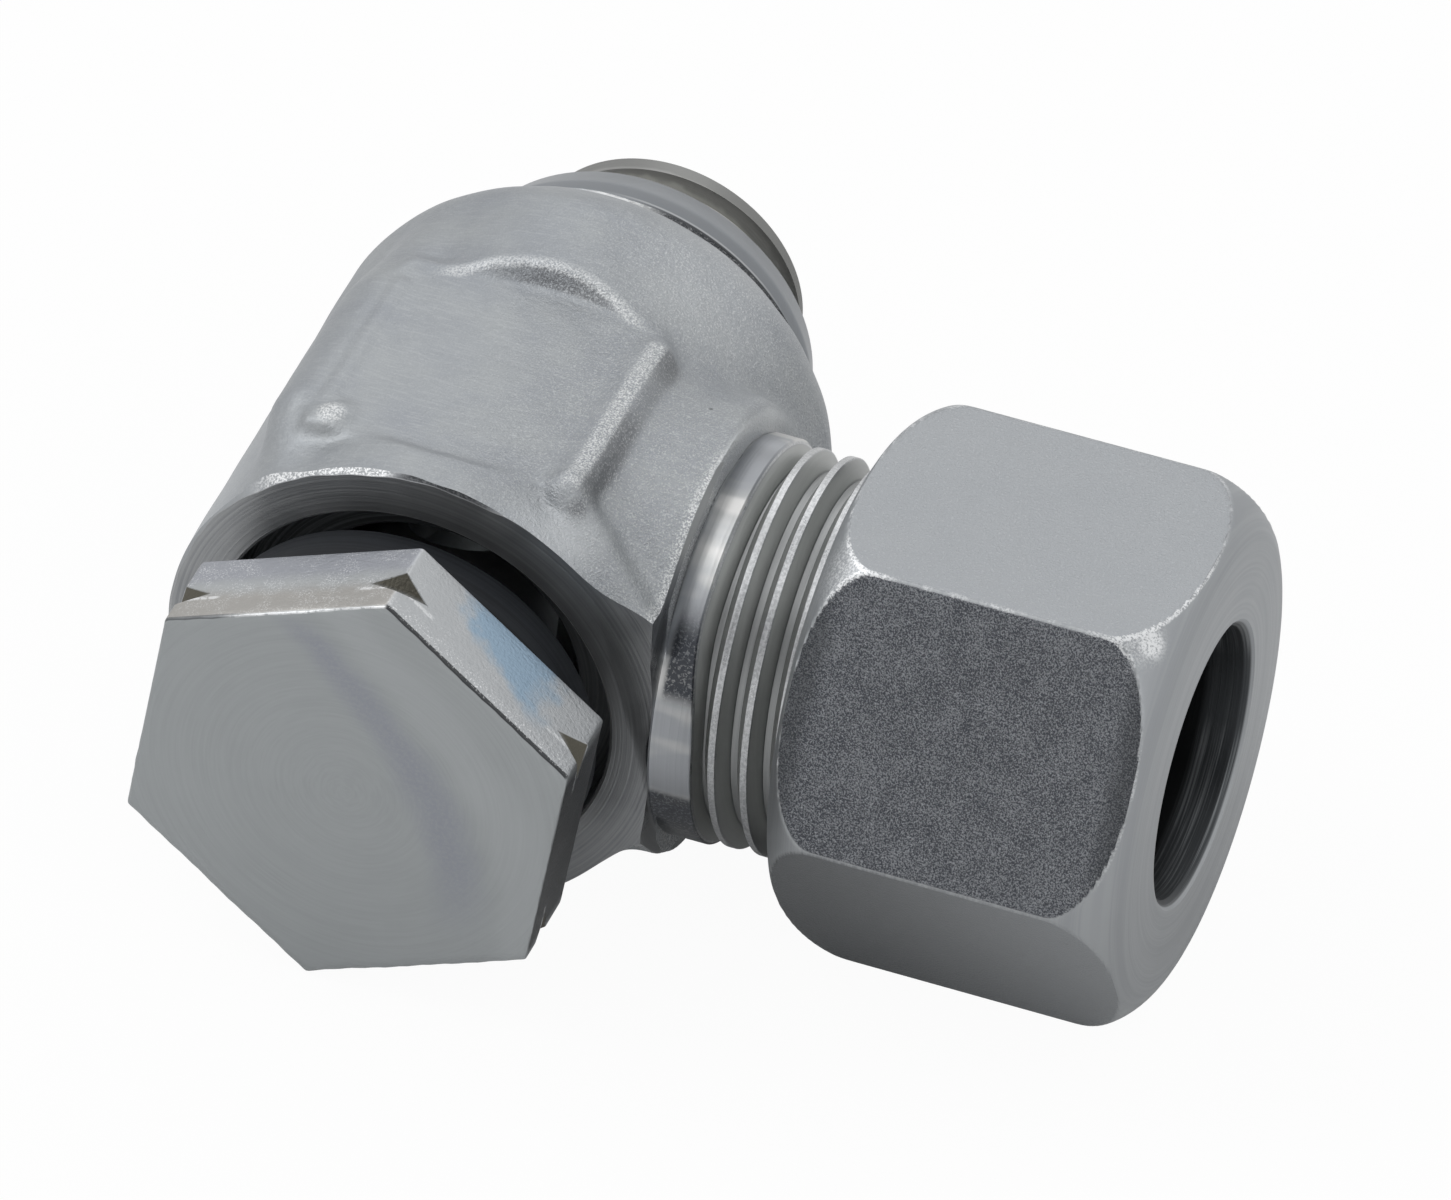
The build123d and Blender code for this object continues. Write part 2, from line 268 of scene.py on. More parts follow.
def barrelFinish():
    # what is turned about the bolt axis: face, counterbore, bore and collar
    look = barrelLook
    material, place, (x, y, z) = startMaterial("turnedBarrel")
    radius, marks = turnedMarks(place, y, x, z, turnedLook["fine"])
    cloud = noise(place, 0.5)
    # bevel of the front face: a painted highlight with bright grains on the left, a darker part,
    # then thin
    bevel = y.within(-8.99, -8.96, -8.0, -7.8) * radius.above(11.0, 11.1) * z.above(2.0, 4.0)
    sparkle = noise(place, 9.0, 2.0, 0.7).above(0.4, 0.6)
    turn = x / z.greater(0.5) + 0.08 * noise(place, 1.2)
    bright = turn.within(-0.95, -0.65, -0.12, -0.05)
    darkerPart = turn.within(-0.1, 0.0, 0.24, 0.42)
    lip = radius.within(9.26, 9.31, 9.42, 9.47) * y.above(-8.85, -8.9)
    # inside the counterbore and the bore: painted shade, lighter towards the right, with less metal
    # and more roughness
    inside = radius.above(9.36, 9.3) * y.within(-8.95, -8.85, 17.0, 17.6)
    # collar: painted shade in the groove in front of it, and a painted highlight on the edge beside
    # the groove
    collar = y.above(14.0, 15.0)
    grooveShade = x.within(-0.5, 3.0, 8.2, 8.8) * z.above(2.0, 4.5) * y.above(16.12, 16.06)
    edge = y.within(16.1, 16.14, 16.2, 16.28) * x.above(-1.2, 1.5) * z.above(5.0, 7.0)
    tone = marks.above(0.3, 0.7) * 0.35 + cloud * 0.4
    colour = layered(look, mixed(tone, turnedLook["dark"], turnedLook["light"]), [
        (bevel, "bevel"),
        (bevel * bright * sparkle, "bevelSpark"),
        (bevel * darkerPart * (0.95 - 0.3 * sparkle), "darkerPart"),
        (lip * 0.6, "lip"),
        (inside, mixed(marks.above(0.4, 0.7), look["insideDark"], look["insideLight"])),
        (inside * x.above(3.0, 8.0) * (0.25 + 0.5 * marks), "insideRight"),
        (collar, mixed(cloud, look["collarDark"], look["collarLight"])),
        (collar * grooveShade * 0.95, "deepShade"),
        (edge * 0.5, "collarEdge")])
    return endMaterial(material, colour, 0.9 - 0.7 * inside, 0.32 + 0.15 * cloud + 0.5 * inside,
                       bump(marks * (1 - 0.7 * collar), turnedLook["depth"]))


branchLook = {
    "ring": (0.53, 0.54, 0.54), "blue": (0.27, 0.29, 0.335), "top": (0.14, 0.145, 0.155),
    "shine": (0.66, 0.655, 0.645), "stainAndDarkReflection": (0.05, 0.055, 0.066), "facing": (0.12, 0.125, 0.13),
    "runOut": (0.42, 0.435, 0.44), "flank": (0.45, 0.46, 0.45), "root": (0.14, 0.145, 0.15),
    "crest": (0.62, 0.63, 0.64),
}


def branchFinish():
    # what is turned about the branch axis: neck, thread, cone and seat
    look = branchLook
    material, place, (x, y, z) = startMaterial("turnedBranch")
    radius, marks = turnedMarks(place, x, y, z, turnedLook["fine"])
    cloud = noise(place, 0.6)
    patches = noise(place, 0.5, 2.0, 0.5, (0.3, 1.0, 1.0))
    grains = noise(place, 7.0, 2.0, 0.7)
    # plain ring: painted reflections, as light and dark patches and a darker top above, then a dark
    # band lower down with grains, then brushed
    plain = radius.above(9.03, 9.07) * x.within(11.15, 11.25, 13.3, 13.4)
    stainAndDarkReflection = z.within(2.6, 3.4, 5.2, 6.8) * x.above(11.35, 11.6)
    stainAndDarkReflection = stainAndDarkReflection.greater(z.above(-1.9, -2.4) * 0.9) * plain
    # painted shade on the facing of the neck
    face = x.above(11.22, 11.12) * radius.above(10.4, 10.0) * z.above(9.0, 6.0)
    # painted lighter and less metallic behind the neck, in place of the dark that it would reflect
    runOut = radius.above(9.5, 9.9) * (y + z).above(2.0, 6.0)       # behind the neck
    # thread: painted shade in the roots, painted highlight with grains on the crests
    inThread = x.above(11.6, 11.7)
    flank = radius.within(7.9, 8.2, 8.88, 8.95) * inThread
    root = radius.within(7.9, 8.0, 8.12, 8.2) * inThread
    crest = radius.within(8.93, 8.97, 9.03, 9.07) * inThread
    tone = marks.above(0.3, 0.7) * 0.5 + cloud * 0.35
    colour = layered(look, mixed(tone, turnedLook["dark"], turnedLook["light"]), [
        (plain * 0.8, "ring"),
        (plain * patches.above(0.52, 0.42) * 0.5, "blue"),
        (plain * z.above(8.6, 9.0) * 0.45, "top"),
        (plain * patches.above(0.5, 0.62) * 0.7, "shine"),
        (stainAndDarkReflection * (0.95 - 0.35 * grains.above(0.5, 0.65)), "stainAndDarkReflection"),
        (face * 0.7, "facing"),
        (runOut, "runOut"),
        (flank * 0.8, "flank"),
        (root * 0.5, "root"),
        (crest * (0.15 + 0.45 * grains.above(0.4, 0.6)), "crest")])
    rough = 0.22 + 0.14 * cloud + 0.14 * flank + 0.1 * plain + 0.3 * runOut
    return endMaterial(material, colour, 0.95 - 0.65 * runOut, rough,
                       bump(marks, turnedLook["depth"]))


boltLook = {
    "turn": 142.07,        # first corner, degrees from x towards z
    "dark": (0.333, 0.351, 0.36), "light": (0.405, 0.425, 0.434),
    "flat": (0.37, 0.38, 0.39), "warm": (0.335, 0.318, 0.295), "cool": (0.26, 0.27, 0.315),
    "scuff": (0.78, 0.79, 0.80), "rightFlat": (0.50, 0.515, 0.53), "stainAndDarkReflection": (0.27, 0.39, 0.51),
    "edge": (0.10, 0.105, 0.11), "burr": (0.80, 0.81, 0.82), "deepShade": (0.045, 0.047, 0.05),
    "grain": (0.85, 0.86, 0.87), "olive": (0.11, 0.104, 0.085), "port": (0.45, 0.445, 0.42),
    "portCrest": (0.155, 0.157, 0.155), "portWorn": (0.29, 0.29, 0.285),
    "sweep": (0.285, 0.30, 0.345), "besideSweep": (0.50, 0.52, 0.535),
}


def boltFinish():
    look = boltLook
    material, place, (x, y, z) = startMaterial("boltSteel")
    radius, marks = turnedMarks(place, y, x, z, 9.0, 1.6)
    cloud = noise(place, 0.3)
    grain = noise(place, 6.0, 2.0, 0.6)
    face = y.above(-16.6, -16.75)
    flats = (1 - face) * y.above(-12.3, -12.4)

    def height(degrees):
        # how far out a place lies towards the flat that is so far from the first corner
        turn = math.radians(look["turn"] - degrees)
        return x * math.cos(turn) + z * math.sin(turn)
    spread = radius.greater(0.01)
    topWay = (height(30) / spread).above(0.86, 0.87)
    rightWay = (height(90) / spread).above(0.86, 0.87)
    sideFlat = (height(150) / spread).above(0.86, 0.9) * flats       # painted dark, for the shade that it reflects
    topFlat, rightFlat = topWay * flats, rightWay * flats
    low = y + 0.8 * noise(place, 0.9)
    scuffs = noise(place, 0.9, 3.0, 0.7).above(0.4, 0.62)
    scuffs = scuffs * noise(place, 14.0, 1.0, 0.5).above(0.52, 0.66)
    blotch = 2.4 * (noise(place, 1.2, 3.0) - 0.5)
    across = (x - 6.1) * 0.789 - (z - 7.4) * 0.615 + blotch      # runs along the right flat
    stainAndDarkReflection = abs(across).above(3.4, 1.6) * (y + 0.35 * across + 0.4 * blotch).above(-15.2, -14.2)
    # front edges: a bright burr on part of the top, and on the right painted shadow as a dark line,
    # with grains
    edge = y.within(-16.79, -16.77, -16.64, -16.58)
    burred = (x + 1.5 * cloud).above(-5.8, -3.2)
    burr = edge * y.above(-16.68, -16.74) * burred * (0.25 + 0.65 * grain.above(0.35, 0.5))
    grains = rightFlat * y.above(-15.6, -16.3) * noise(place, 11.0, 2.0, 0.7).above(0.55, 0.68)
    # notch turned into the corners, where the radius is less than on the flat, and its lip
    out = abs(height(30)).greater(abs(height(-30))).greater(abs(height(90)))
    notch = abs(y + 14.95).above(1.3, 1.2) * radius.above(10.2, 10.24)
    notch = notch * out.above(9.49, 9.44) * y.above(-15.1, -14.8)
    lip = abs(y + 15.2 + 0.2 * noise(place, 3.0)).above(0.14, 0.05) * radius.above(10.05, 10.15)
    # oily port thread, its last crest worn bright
    port = y.above(19.3, 19.45)
    bent = y + 0.35 * (noise(place, 0.8) - 0.5)
    crest = bent.above(21.65, 21.8) * y.above(23.1, 22.75) * radius.above(5.9, 6.1)
    # painted reflection: one soft bluish fan across the face, right of the middle, and a lighter
    # band beside it
    sweep = x - 4.3 + 0.44 * z + 0.043 * z * z + 1.4 * (noise(place, 0.45, 3.0) - 0.5)
    fan = abs(sweep).above(1.9, 0.1) * z.above(-7.5, -2.0) * z.above(9.4, 7.6)
    fan = fan * (0.6 + 0.4 * noise(place, 5.0, 3.0, 0.7).above(0.35, 0.6))
    lighter = (sweep - 3.0).above(2.6, 0.6) * sweep.above(1.4, 2.6)
    tone = marks.above(0.3, 0.7) * 0.3 + cloud * 0.5
    colour = layered(look, mixed(tone, look["dark"], look["light"]), [
        (flats * (0.35 + 0.3 * grain.above(0.3, 0.7)), "flat"),
        (topFlat * low.above(-14.0, -15.2) * 0.75, "warm"),
        (topFlat * low.above(-14.2, -13.2) * 0.6, "cool"),
        (flats * scuffs * 0.45, "scuff"),
        (rightFlat * 0.6, "rightFlat"),
        (rightFlat * stainAndDarkReflection * 0.85, "stainAndDarkReflection"),
        (topWay * edge * (1 - burred) * 0.8, "edge"),
        (topWay * burr, "burr"),
        (rightWay * edge * 0.95, "deepShade"),
        (grains * 0.8, "grain"),
        (sideFlat * (0.97 - 0.12 * grain), "deepShade"),
        (notch, "olive"),
        (lip * (1 - face) * grain.above(0.35, 0.5) * 0.6, "burr"),
        (port * (0.55 + 0.4 * grain), "port"),
        (crest * 0.8, "portCrest"),
        (crest * bent.above(22.05, 21.85) * 0.8, "portWorn"),
        (face * fan * 0.75, "sweep"),
        (face * lighter * 0.2, "besideSweep")])
    return endMaterial(material, colour, 0.88, 0.36 + 0.14 * cloud,
                       bump(grain * flats, 0.03, bump(marks, 0.012)))


nutLook = {
    "satin": (0.330, 0.345, 0.362), "grey": (0.33, 0.342, 0.355), "low": (0.16, 0.168, 0.175),
    "turned": (0.40, 0.415, 0.425), "bore": (0.045, 0.049, 0.053), "streak": (0.19, 0.20, 0.208),
    "deep": (0.012, 0.013, 0.014), "coarse": (0.075, 0.08, 0.092), "speck": (0.27, 0.282, 0.30),
    "glint": (0.50, 0.51, 0.53), "outline": (0.045, 0.048, 0.052), "wornAndSheen": (0.75, 0.76, 0.77),
}


def nutFinish():
    look = nutLook
    material, place, (x, y, z) = startMaterial("nutSteel")
    radius, marks = turnedMarks(place, x, y, z, 8.0)
    cloud = noise(place, 0.3)
    grain = noise(place, 9.0, 2.0, 0.6)
    coarse = noise(place, 14.0, 2.0, 0.6)
    fine = noise(place, 9.0, 2.0, 0.7)
    mottle = noise(place, 0.8, 3.0, 0.6)
    third = math.cos(math.radians(30))
    frontUpper = z * 0.5 - y * third
    frontLower = z * -0.5 - y * third
    out = abs(z).greater(abs(frontUpper)).greater(abs(frontLower))   # height over the flats
    flat = out.above(10.975, 10.99)
    border = out.within(10.86, 10.95, 10.985, 10.995)
    # the lower front flat is painted darker as shade, most towards the left
    dark = frontUpper.above(10.975, 10.99)
    under = frontLower.above(10.9, 10.99)
    # bore: painted shade with lighter streaks along the turning marks, and near-black painted shade
    # deep inside
    bore = radius.above(6.5, 6.4)
    streak = marks.above(0.45, 0.7) * (0.15 + 0.85 * abs(z + 0.5).above(1.5, 3.0))
    deep = x.above(31.9, 31.5) * radius.above(9.3, 9.0) * x.above(18.5, 19.0)
    # coarse flat in front, painted dark for the dark that it reflects, with painted glints on its
    # grains and a dark line just inside its border
    along = abs(x - 25.45) + 1.2 * (mottle - 0.5)
    rough = (coarse + 0.14 * (mottle - 0.5)).above(0.40, 0.64)
    rough = layered(look, mixed(rough, look["coarse"], look["speck"]), [
        (coarse.above(0.66, 0.74) * 0.5, "glint"),
        (along.above(6.4, 7.4) * 0.5, "outline")])
    # bright grains along the border, and most at the two corners in front
    corner = near(place, (31.9, -5.6, 10.7), 0.4, 1.7) + near(place, (18.9, -6.1, 10.7), 0.6, 2.6)
    endLine = x.above(30.5, 31.5) * z.above(10.0, 10.6) * y.above(3.5, -2.0)
    wornEdgeAndHighlight = border * z.above(-2.0, 5.0) * fine.above(0.4, 0.58)
    wornEdgeAndHighlight = wornEdgeAndHighlight * (0.1 + 0.4 * noise(place, 0.9).above(0.45, 0.6) + corner + endLine)
    wornEdgeAndHighlight = wornEdgeAndHighlight + corner * (1 - flat) * fine.above(0.42, 0.6) * 0.55
    # painted highlight on the corner beside the dark flat
    wornEdgeAndHighlight = wornEdgeAndHighlight + near(place, (32.5, -5.5, 10.55), 0.25, 0.85) * fine.above(0.32, 0.5) * 0.7
    tone = cloud.above(0.1, 0.9) * 0.4 + z.above(-6.0, 9.0) * 0.6
    colour = layered(look, mixed(tone, look["grey"], look["satin"]), [
        (under * (0.95 - 0.75 * x.above(18.0, 33.0)), "low"),
        ((1 - flat) * marks.above(0.35, 0.65) * 0.55, "turned"),
        (bore, mixed(streak, look["bore"], look["streak"])),
        (deep, "deep"),
        (dark, rough),
        (flat * (1 - dark) * (1 - under) * grain.above(0.55, 0.72) * 0.16, "wornAndSheen"),
        (wornEdgeAndHighlight.lesser(0.9), "wornAndSheen")])
    normal = bump(marks * (1 - flat), 0.01)
    normal = bump(grain * flat * (1 - dark), 0.05, normal)
    normal = bump(coarse * dark, 0.07, normal)
    return endMaterial(material, colour, 0.85, 0.42 + 0.1 * cloud + 0.15 * dark, normal)


def sealFinish(name, dark, light, metal, roughness, axis):
    material, place, (x, y, z) = startMaterial(name)
    parts = (x, y, z) if axis == "x" else (y, x, z)
    radius, marks = turnedMarks(place, *parts, 6.0)
    cloud = noise(place, 0.8, 3.0)
    colour = mixed(marks.above(0.35, 0.65) * 0.5 + cloud * 0.4, dark, light)
    return endMaterial(material, colour, metal, roughness + 0.15 * cloud, bump(marks, 0.01),
                       0.2 if metal == 0 else 0.5)


finishes = {
    "forged": forgedFinish(),
    "barrel": barrelFinish(),
    "branch": branchFinish(),
    "bolt": boltFinish(),
    "nut": nutFinish(),
    "seal": sealFinish("blackSeal", (0.007, 0.008, 0.010), (0.022, 0.025, 0.030), 0.0, 0.46, "y"),
    "portSeal": sealFinish("sealSteel", (0.20, 0.196, 0.175), (0.29, 0.285, 0.26), 0.7, 0.4, "y"),
    "ring": sealFinish("ringSteel", (0.24, 0.25, 0.26), (0.42, 0.425, 0.43), 0.9, 0.3, "x"),
}
finishOrder = list(finishes)
print("materials made")


# Mesh helpers

def outward(points, faces):
    # the faces, turned round if their front sides look inwards
    volume = 0.0
    for face in faces:
        a = points[face[0]]
        for b, c in zip(face[1:-1], face[2:]):
            volume += np.dot(a, np.cross(points[b], points[c]))
    return [face[::-1] for face in faces] if volume < 0 else faces


def placed(name, data):
    # an object in the scene, from a mesh, lamp or camera
    made = bpy.data.objects.new(name, data)
    bpy.context.scene.collection.objects.link(made)
    return made


def meshObject(name, points, faces, finish):
    mesh = bpy.data.meshes.new(name)
    mesh.from_pydata(np.asarray(points).tolist(), [], [list(face) for face in faces])
    for each in finishOrder:
        mesh.materials.append(finishes[each])
    mesh.polygons.foreach_set("material_index", [finishOrder.index(finish)] * len(mesh.polygons))
    return placed(name, mesh)


def wholeTurn(count):
    return np.arange(count) * 2 * math.pi / count


def skinAbout(name, axis, profile, finish, angles=wholeTurn(192), loop=False):
    # skin about an axis from pairs of station and radius. Either may differ from
    # angle to angle, and a radius of plain 0 makes a pole. A loop closes on itself.
    rings = []
    for station, radius in profile:
        parts = [radius * np.cos(angles), radius * np.sin(angles)]
        parts.insert("xy".index(axis), station + 0 * angles)
        ring = np.stack(parts, 1)
        rings.append(ring[:1] if np.ndim(radius) == 0 and radius == 0 else ring)
    points = np.concatenate(rings)
    ends = np.cumsum([len(ring) for ring in rings])
    numbers = [list(range(end - len(ring), end)) for end, ring in zip(ends, rings)]
    faces = []
    for one, two in zip(numbers, numbers[1:] + numbers[:1] * loop):
        for k in range(max(len(one), len(two))):
            corners = (one[k % len(one)], one[(k + 1) % len(one)],
                       two[(k + 1) % len(two)], two[k % len(two)])
            faces.append(list(dict.fromkeys(corners)))        # a pole counts once
    return meshObject(name, points, outward(points, faces), finish)


def meshOf(made):
    graph = bpy.context.evaluated_depsgraph_get()
    return bpy.data.meshes.new_from_object(made.evaluated_get(graph))


def combine(base, tool, operation="DIFFERENCE"):
    # cut with the tool or join it, and put the result in base
    step = base.modifiers.new(operation, "BOOLEAN")
    step.object = tool
    step.operation = operation
    step.solver = "MANIFOLD"
    result = meshOf(base)
    base.modifiers.clear()
    base.data = result
    bpy.data.objects.remove(tool)
    print(base.name, operation, len(result.polygons))


def finished(made, body, node, sharp=28):
    # smooth faces, sharp edges, unused materials out, then into the frame
    mesh = made.data
    mesh.polygons.foreach_set("use_smooth", [True] * len(mesh.polygons))
    mesh.set_sharp_from_angle(angle=math.radians(sharp))
    used = sorted({each.material_index for each in mesh.polygons})
    index = [used.index(each.material_index) for each in mesh.polygons]
    mesh.materials.clear()
    for each in used:
        mesh.materials.append(finishes[finishOrder[each]])
    mesh.polygons.foreach_set("material_index", index)
    mesh.transform(toFrame)
    mesh.update()
    print(made.name, "triangles", sum(len(each.vertices) - 2 for each in mesh.polygons))
    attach(made, body)
    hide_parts(node)


# Thread grooves by Geometry Nodes

def grooveTree():
    # a trapezoid swept along a helix about z that runs out of the metal at
    # both ends
    startFade, endFade = 0.12, 0.35        # turns over which it leaves the metal
    startRise, endRise = 8.0, 3.0          # how steeply it leaves
    wavesPerTurn = 9.0
    tree = bpy.data.node_groups.new("threadGroove", "GeometryNodeTree")
    face = tree.interface
    face.new_socket("Geometry", in_out="INPUT", socket_type="NodeSocketGeometry")
    for name in ("Turns", "Pitch", "Start Angle", "Root Radius", "Depth",
                 "Root Width", "Top Width", "Run-out", "Waver"):
        face.new_socket(name, in_out="INPUT", socket_type="NodeSocketFloat")
    face.new_socket("Points", in_out="INPUT", socket_type="NodeSocketInt")
    face.new_socket("Finish", in_out="INPUT", socket_type="NodeSocketMaterial")
    face.new_socket("Geometry", in_out="OUTPUT", socket_type="NodeSocketGeometry")
    given = tree.nodes.new("NodeGroupInput")
    taken = tree.nodes.new("NodeGroupOutput")
    start = Wire(tree)
    value = {socket.name: Wire(tree, socket) for socket in given.outputs if socket.name}
    line = start.node("GeometryNodeCurvePrimitiveLine")
    line = start.node("GeometryNodeResampleCurve", {}, {"Curve": line, "Count": value["Points"]})
    part = start.node("GeometryNodeSplineParameter", {}, {}, "Factor")
    turns = part * value["Turns"]
    angle = value["Start Angle"] + turns * (2 * math.pi)
    # how far the cutter has left the metal at the two ends
    left = (startFade - turns).greater(0.0)
    right = ((part - 1) * value["Turns"] + endFade).greater(0.0)
    shake = start.node("ShaderNodeTexNoise", {"noise_dimensions": "1D"}, {
        "W": turns * wavesPerTurn, "Scale": 1.0, "Detail": 2.0})
    radius = (value["Root Radius"] + (left * startRise + right * endRise) * value["Run-out"]
              + (shake - 0.5) * value["Waver"])
    spot = start.node("ShaderNodeCombineXYZ", {}, {
        0: radius * angle.maths("COSINE", angle),
        1: radius * angle.maths("SINE", angle),
        2: turns * value["Pitch"]})
    helix = start.node("GeometryNodeSetPosition", {}, {"Geometry": line, "Position": spot})
    helix = start.node("GeometryNodeSetCurveNormal", {"mode": "Z_UP"}, {"Curve": helix})

    def corner(out, half):
        return start.node("ShaderNodeCombineXYZ", {}, {0: out, 1: half})
    halfRoot = value["Root Width"] * 0.5
    halfTop = value["Top Width"] * 0.5
    section = start.node("GeometryNodeCurvePrimitiveQuadrilateral", {"mode": "POINTS"}, {
        "Point 1": corner(0.0, halfRoot * -1), "Point 2": corner(value["Depth"], halfTop * -1),
        "Point 3": corner(value["Depth"], halfTop), "Point 4": corner(0.0, halfRoot)})
    groove = start.node("GeometryNodeCurveToMesh", {}, {
        "Curve": helix, "Profile Curve": section, "Fill Caps": True})
    groove = start.node("GeometryNodeRealizeInstances", {}, {"Geometry": groove})
    groove = start.node("GeometryNodeSetMaterial", {}, {
        "Geometry": groove, "Material": value["Finish"]})
    tree.links.new(groove.socket, taken.inputs[0])
    return tree


threadTree = grooveTree()
# the x axis, or the y axis, takes the place of z
alongX = Matrix(((0, 0, 1, 0), (1, 0, 0, 0), (0, 1, 0, 0), (0, 0, 0, 1)))
alongY = Matrix(((0, 1, 0, 0), (0, 0, 1, 0), (1, 0, 0, 0), (0, 0, 0, 1)))


def threadSizes(s, turns, startAngle, waver, points, fill=1.0):
    # sizes of the groove that leaves the thread s standing; it reaches past the crests
    pitch, depth, root = s["threadPitch"], s["threadDepth"], s["rootWidth"]
    reach = depth + 0.2
    return {"Turns": turns, "Pitch": pitch, "Start Angle": startAngle, "Points": points,
            "Root Radius": s["threadRadius"] - depth, "Depth": reach, "Root Width": root,
            "Top Width": root + reach * (pitch - 2 * root) / depth * fill,
            "Run-out": 1.0, "Waver": waver}


def grooveCutter(name, sizes, finish, place):
    # the groove as a closed mesh, moved from z to its own axis
    holder = meshObject(name, [(0, 0, 0)], [], finish)
    step = holder.modifiers.new("groove", "NODES")
    step.node_group = threadTree
    for item in threadTree.interface.items_tree:
        if item.in_out == "INPUT" and item.name in sizes:
            step[item.identifier] = sizes[item.name]
        if item.name == "Finish":
            step[item.identifier] = finishes[finish]
    mesh = meshOf(holder)
    bpy.data.objects.remove(holder)
    mesh.transform(place)
    points = np.array([tuple(each.co) for each in mesh.vertices])
    faces = outward(points, [tuple(each.vertices) for each in mesh.polygons])
    return meshObject(name, points, faces, finish)


# Body: the forging

body = {
    "barrelFront": 11.55, "barrelRise": 0.4,          # radius in front, and what it gains
    "shoulderStart": 11.6, "shoulderEnd": 15.45, "shoulderDrop": 2.25, "shoulderDip": 0.15,
    "collarRadius": 9.9, "collarEnd": 19.5, "frontEnd": -9.9,
    "bossRadius": 10.5, "bossEnd": 11.1, "padTop": 11.0, "underside": -11.0,
    "padX": (-6.5, 6.2), "padY": (-6.3, 6.4),
    "padEdge": 0.35, "padFlare": 0.12, "waveDepth": 0.022,
    # wide round on the pad's left, from the front to the back
    "leftRound": ((-5.2, -9.6, 6.7), (-6.5, -3.9, 8.6), (-6.5, 4.0, 8.6), (-5.6, 10.6, 7.7)),
    "leftRoundRadius": 2.4,
    # bars under the skin: start, end, radius, and how softly the skin passes over
    "bars": (((5.75, -5.8, 10.45), (5.85, 4.3, 10.45), 0.75, 0.9),          # rail
             ((5.75, -6.15, 10.72), (5.8, -5.8, 10.72), 0.72, 0.5),         # its front end
             ((-5.35, -5.45, 10.5), (-5.15, -5.25, 10.55), 0.5, 1.0),       # left bump
             ((-6.05, -4.4, 10.6), (-6.1, 4.3, 10.6), 0.42, 0.3),           # left edge
             ((6.6, -6.6, 9.6), (11.0, -9.2, 6.4), 0.5, 1.6)),              # ridge
    "step": 0.22,          # size of the cells that the skin is drawn from
}


def softMin(a, b, k):
    h = np.clip(0.5 + 0.5 * (b - a) / k, 0, 1)
    return b + (a - b) * h - k * h * (1 - h)


def softMax(a, b, k):
    return -softMin(-a, -b, k)


def smoothStep(low, high, value):
    t = np.clip((value - low) / (high - low), 0, 1)
    return t * t * (3 - 2 * t)


def bar(p, start, end, radius):
    # distance to a round bar with round ends
    start, end = np.array(start, float), np.array(end, float)
    run = end - start
    rel = [p[k] - start[k] for k in range(3)]
    t = np.clip(sum(rel[k] * run[k] for k in range(3)) / np.dot(run, run), 0, 1)
    return np.sqrt(sum((rel[k] - t * run[k]) ** 2 for k in range(3))) - radius


def forgingField(p):
    # below zero inside the metal, in millimetres
    s = body
    x, y, z = p
    about = np.sqrt(x * x + z * z)
    lift = s["barrelRise"] * np.clip((y + 9) / 20.6, 0, 1)
    fall = np.clip((y - s["shoulderStart"]) / (s["shoulderEnd"] - s["shoulderStart"]), 0, 1)
    side = np.arctan2(x, z)                 # from the top towards the branch
    dip = smoothStep(-0.35, 0.1, side) * (1 - smoothStep(1.1, 1.5, side))
    radius = s["barrelFront"] + lift - (s["shoulderDrop"] + s["shoulderDip"] * dip) * fall ** 1.65
    radius = np.where(y > s["shoulderEnd"] + 0.02, s["collarRadius"], radius)
    metal = softMax(about - radius, y - s["collarEnd"], 0.2)
    # pad with soft flanks, on the crown and underneath
    (left, right), (front, back), top, edge = s["padX"], s["padY"], s["padTop"], s["padEdge"]
    flare = s["padFlare"] * (top - np.abs(z)) - edge
    over = np.stack([np.abs(x - (left + right) / 2) - (right - left) / 2 - flare,
                     np.abs(y - (front + back) / 2) - (back - front) / 2 - flare,
                     np.abs(z) - top + edge])
    pad = np.sqrt((np.maximum(over, 0) ** 2).sum(0)) + np.minimum(over.max(0), 0) - edge
    # soft corner at the back right, and a wide round on the left edge
    corner = (x - right) * 0.55 + (y - back) * 0.6 + (z - top) * 0.58 + 0.8
    metal = softMin(metal, softMax(pad, corner, 0.9), 0.7)
    path = s["leftRound"]
    rounds = [bar(p, *ends, s["leftRoundRadius"]) for ends in zip(path, path[1:])]
    metal = softMin(metal, np.min(rounds, 0), 0.7)
    # branch boss, wider where it leaves the barrel
    boss = np.sqrt(y * y + z * z) - s["bossRadius"] + 0.32 * smoothStep(2, 6, -z)
    boss = softMax(boss, -x - 1, 0.5)
    boss = softMax(boss, x - s["bossEnd"], 0.2 + 0.9 * smoothStep(-1, 5, y))
    metal = softMin(metal, boss, 1.6 - 1.0 * smoothStep(4, 9, y))
    # crown cut down to the pad, with a leaning wall at the back
    up = z - top
    cut = softMax(-up, y - (back - 0.05 - 0.028 * x * x + 1.15 * up), 0.3)
    cut = softMax(cut, (front - 0.9 * up) - y, 0.5)
    cut = softMax(cut, np.abs(x - (left + right) / 2) - (right - left) / 2 - 0.3, 0.4)
    metal = softMax(metal, -cut, 0.35)
    for *sizes, soft in s["bars"]:
        metal = softMin(metal, bar(p, *sizes), soft)
    # long soft waves of the forging dies
    wave = (np.sin(0.9 * x + 0.5 * y + 1.1) * np.sin(0.8 * y - 0.7 * z + 0.4)
            + np.sin(1.7 * x - 1.1 * z + 2.0) * np.sin(1.5 * y + 0.6 * x))
    metal = metal + 0.02 + s["waveDepth"] * wave
    metal = softMax(metal, s["frontEnd"] - y, 0.1)
    return softMax(metal, s["underside"] - z, 0.25)


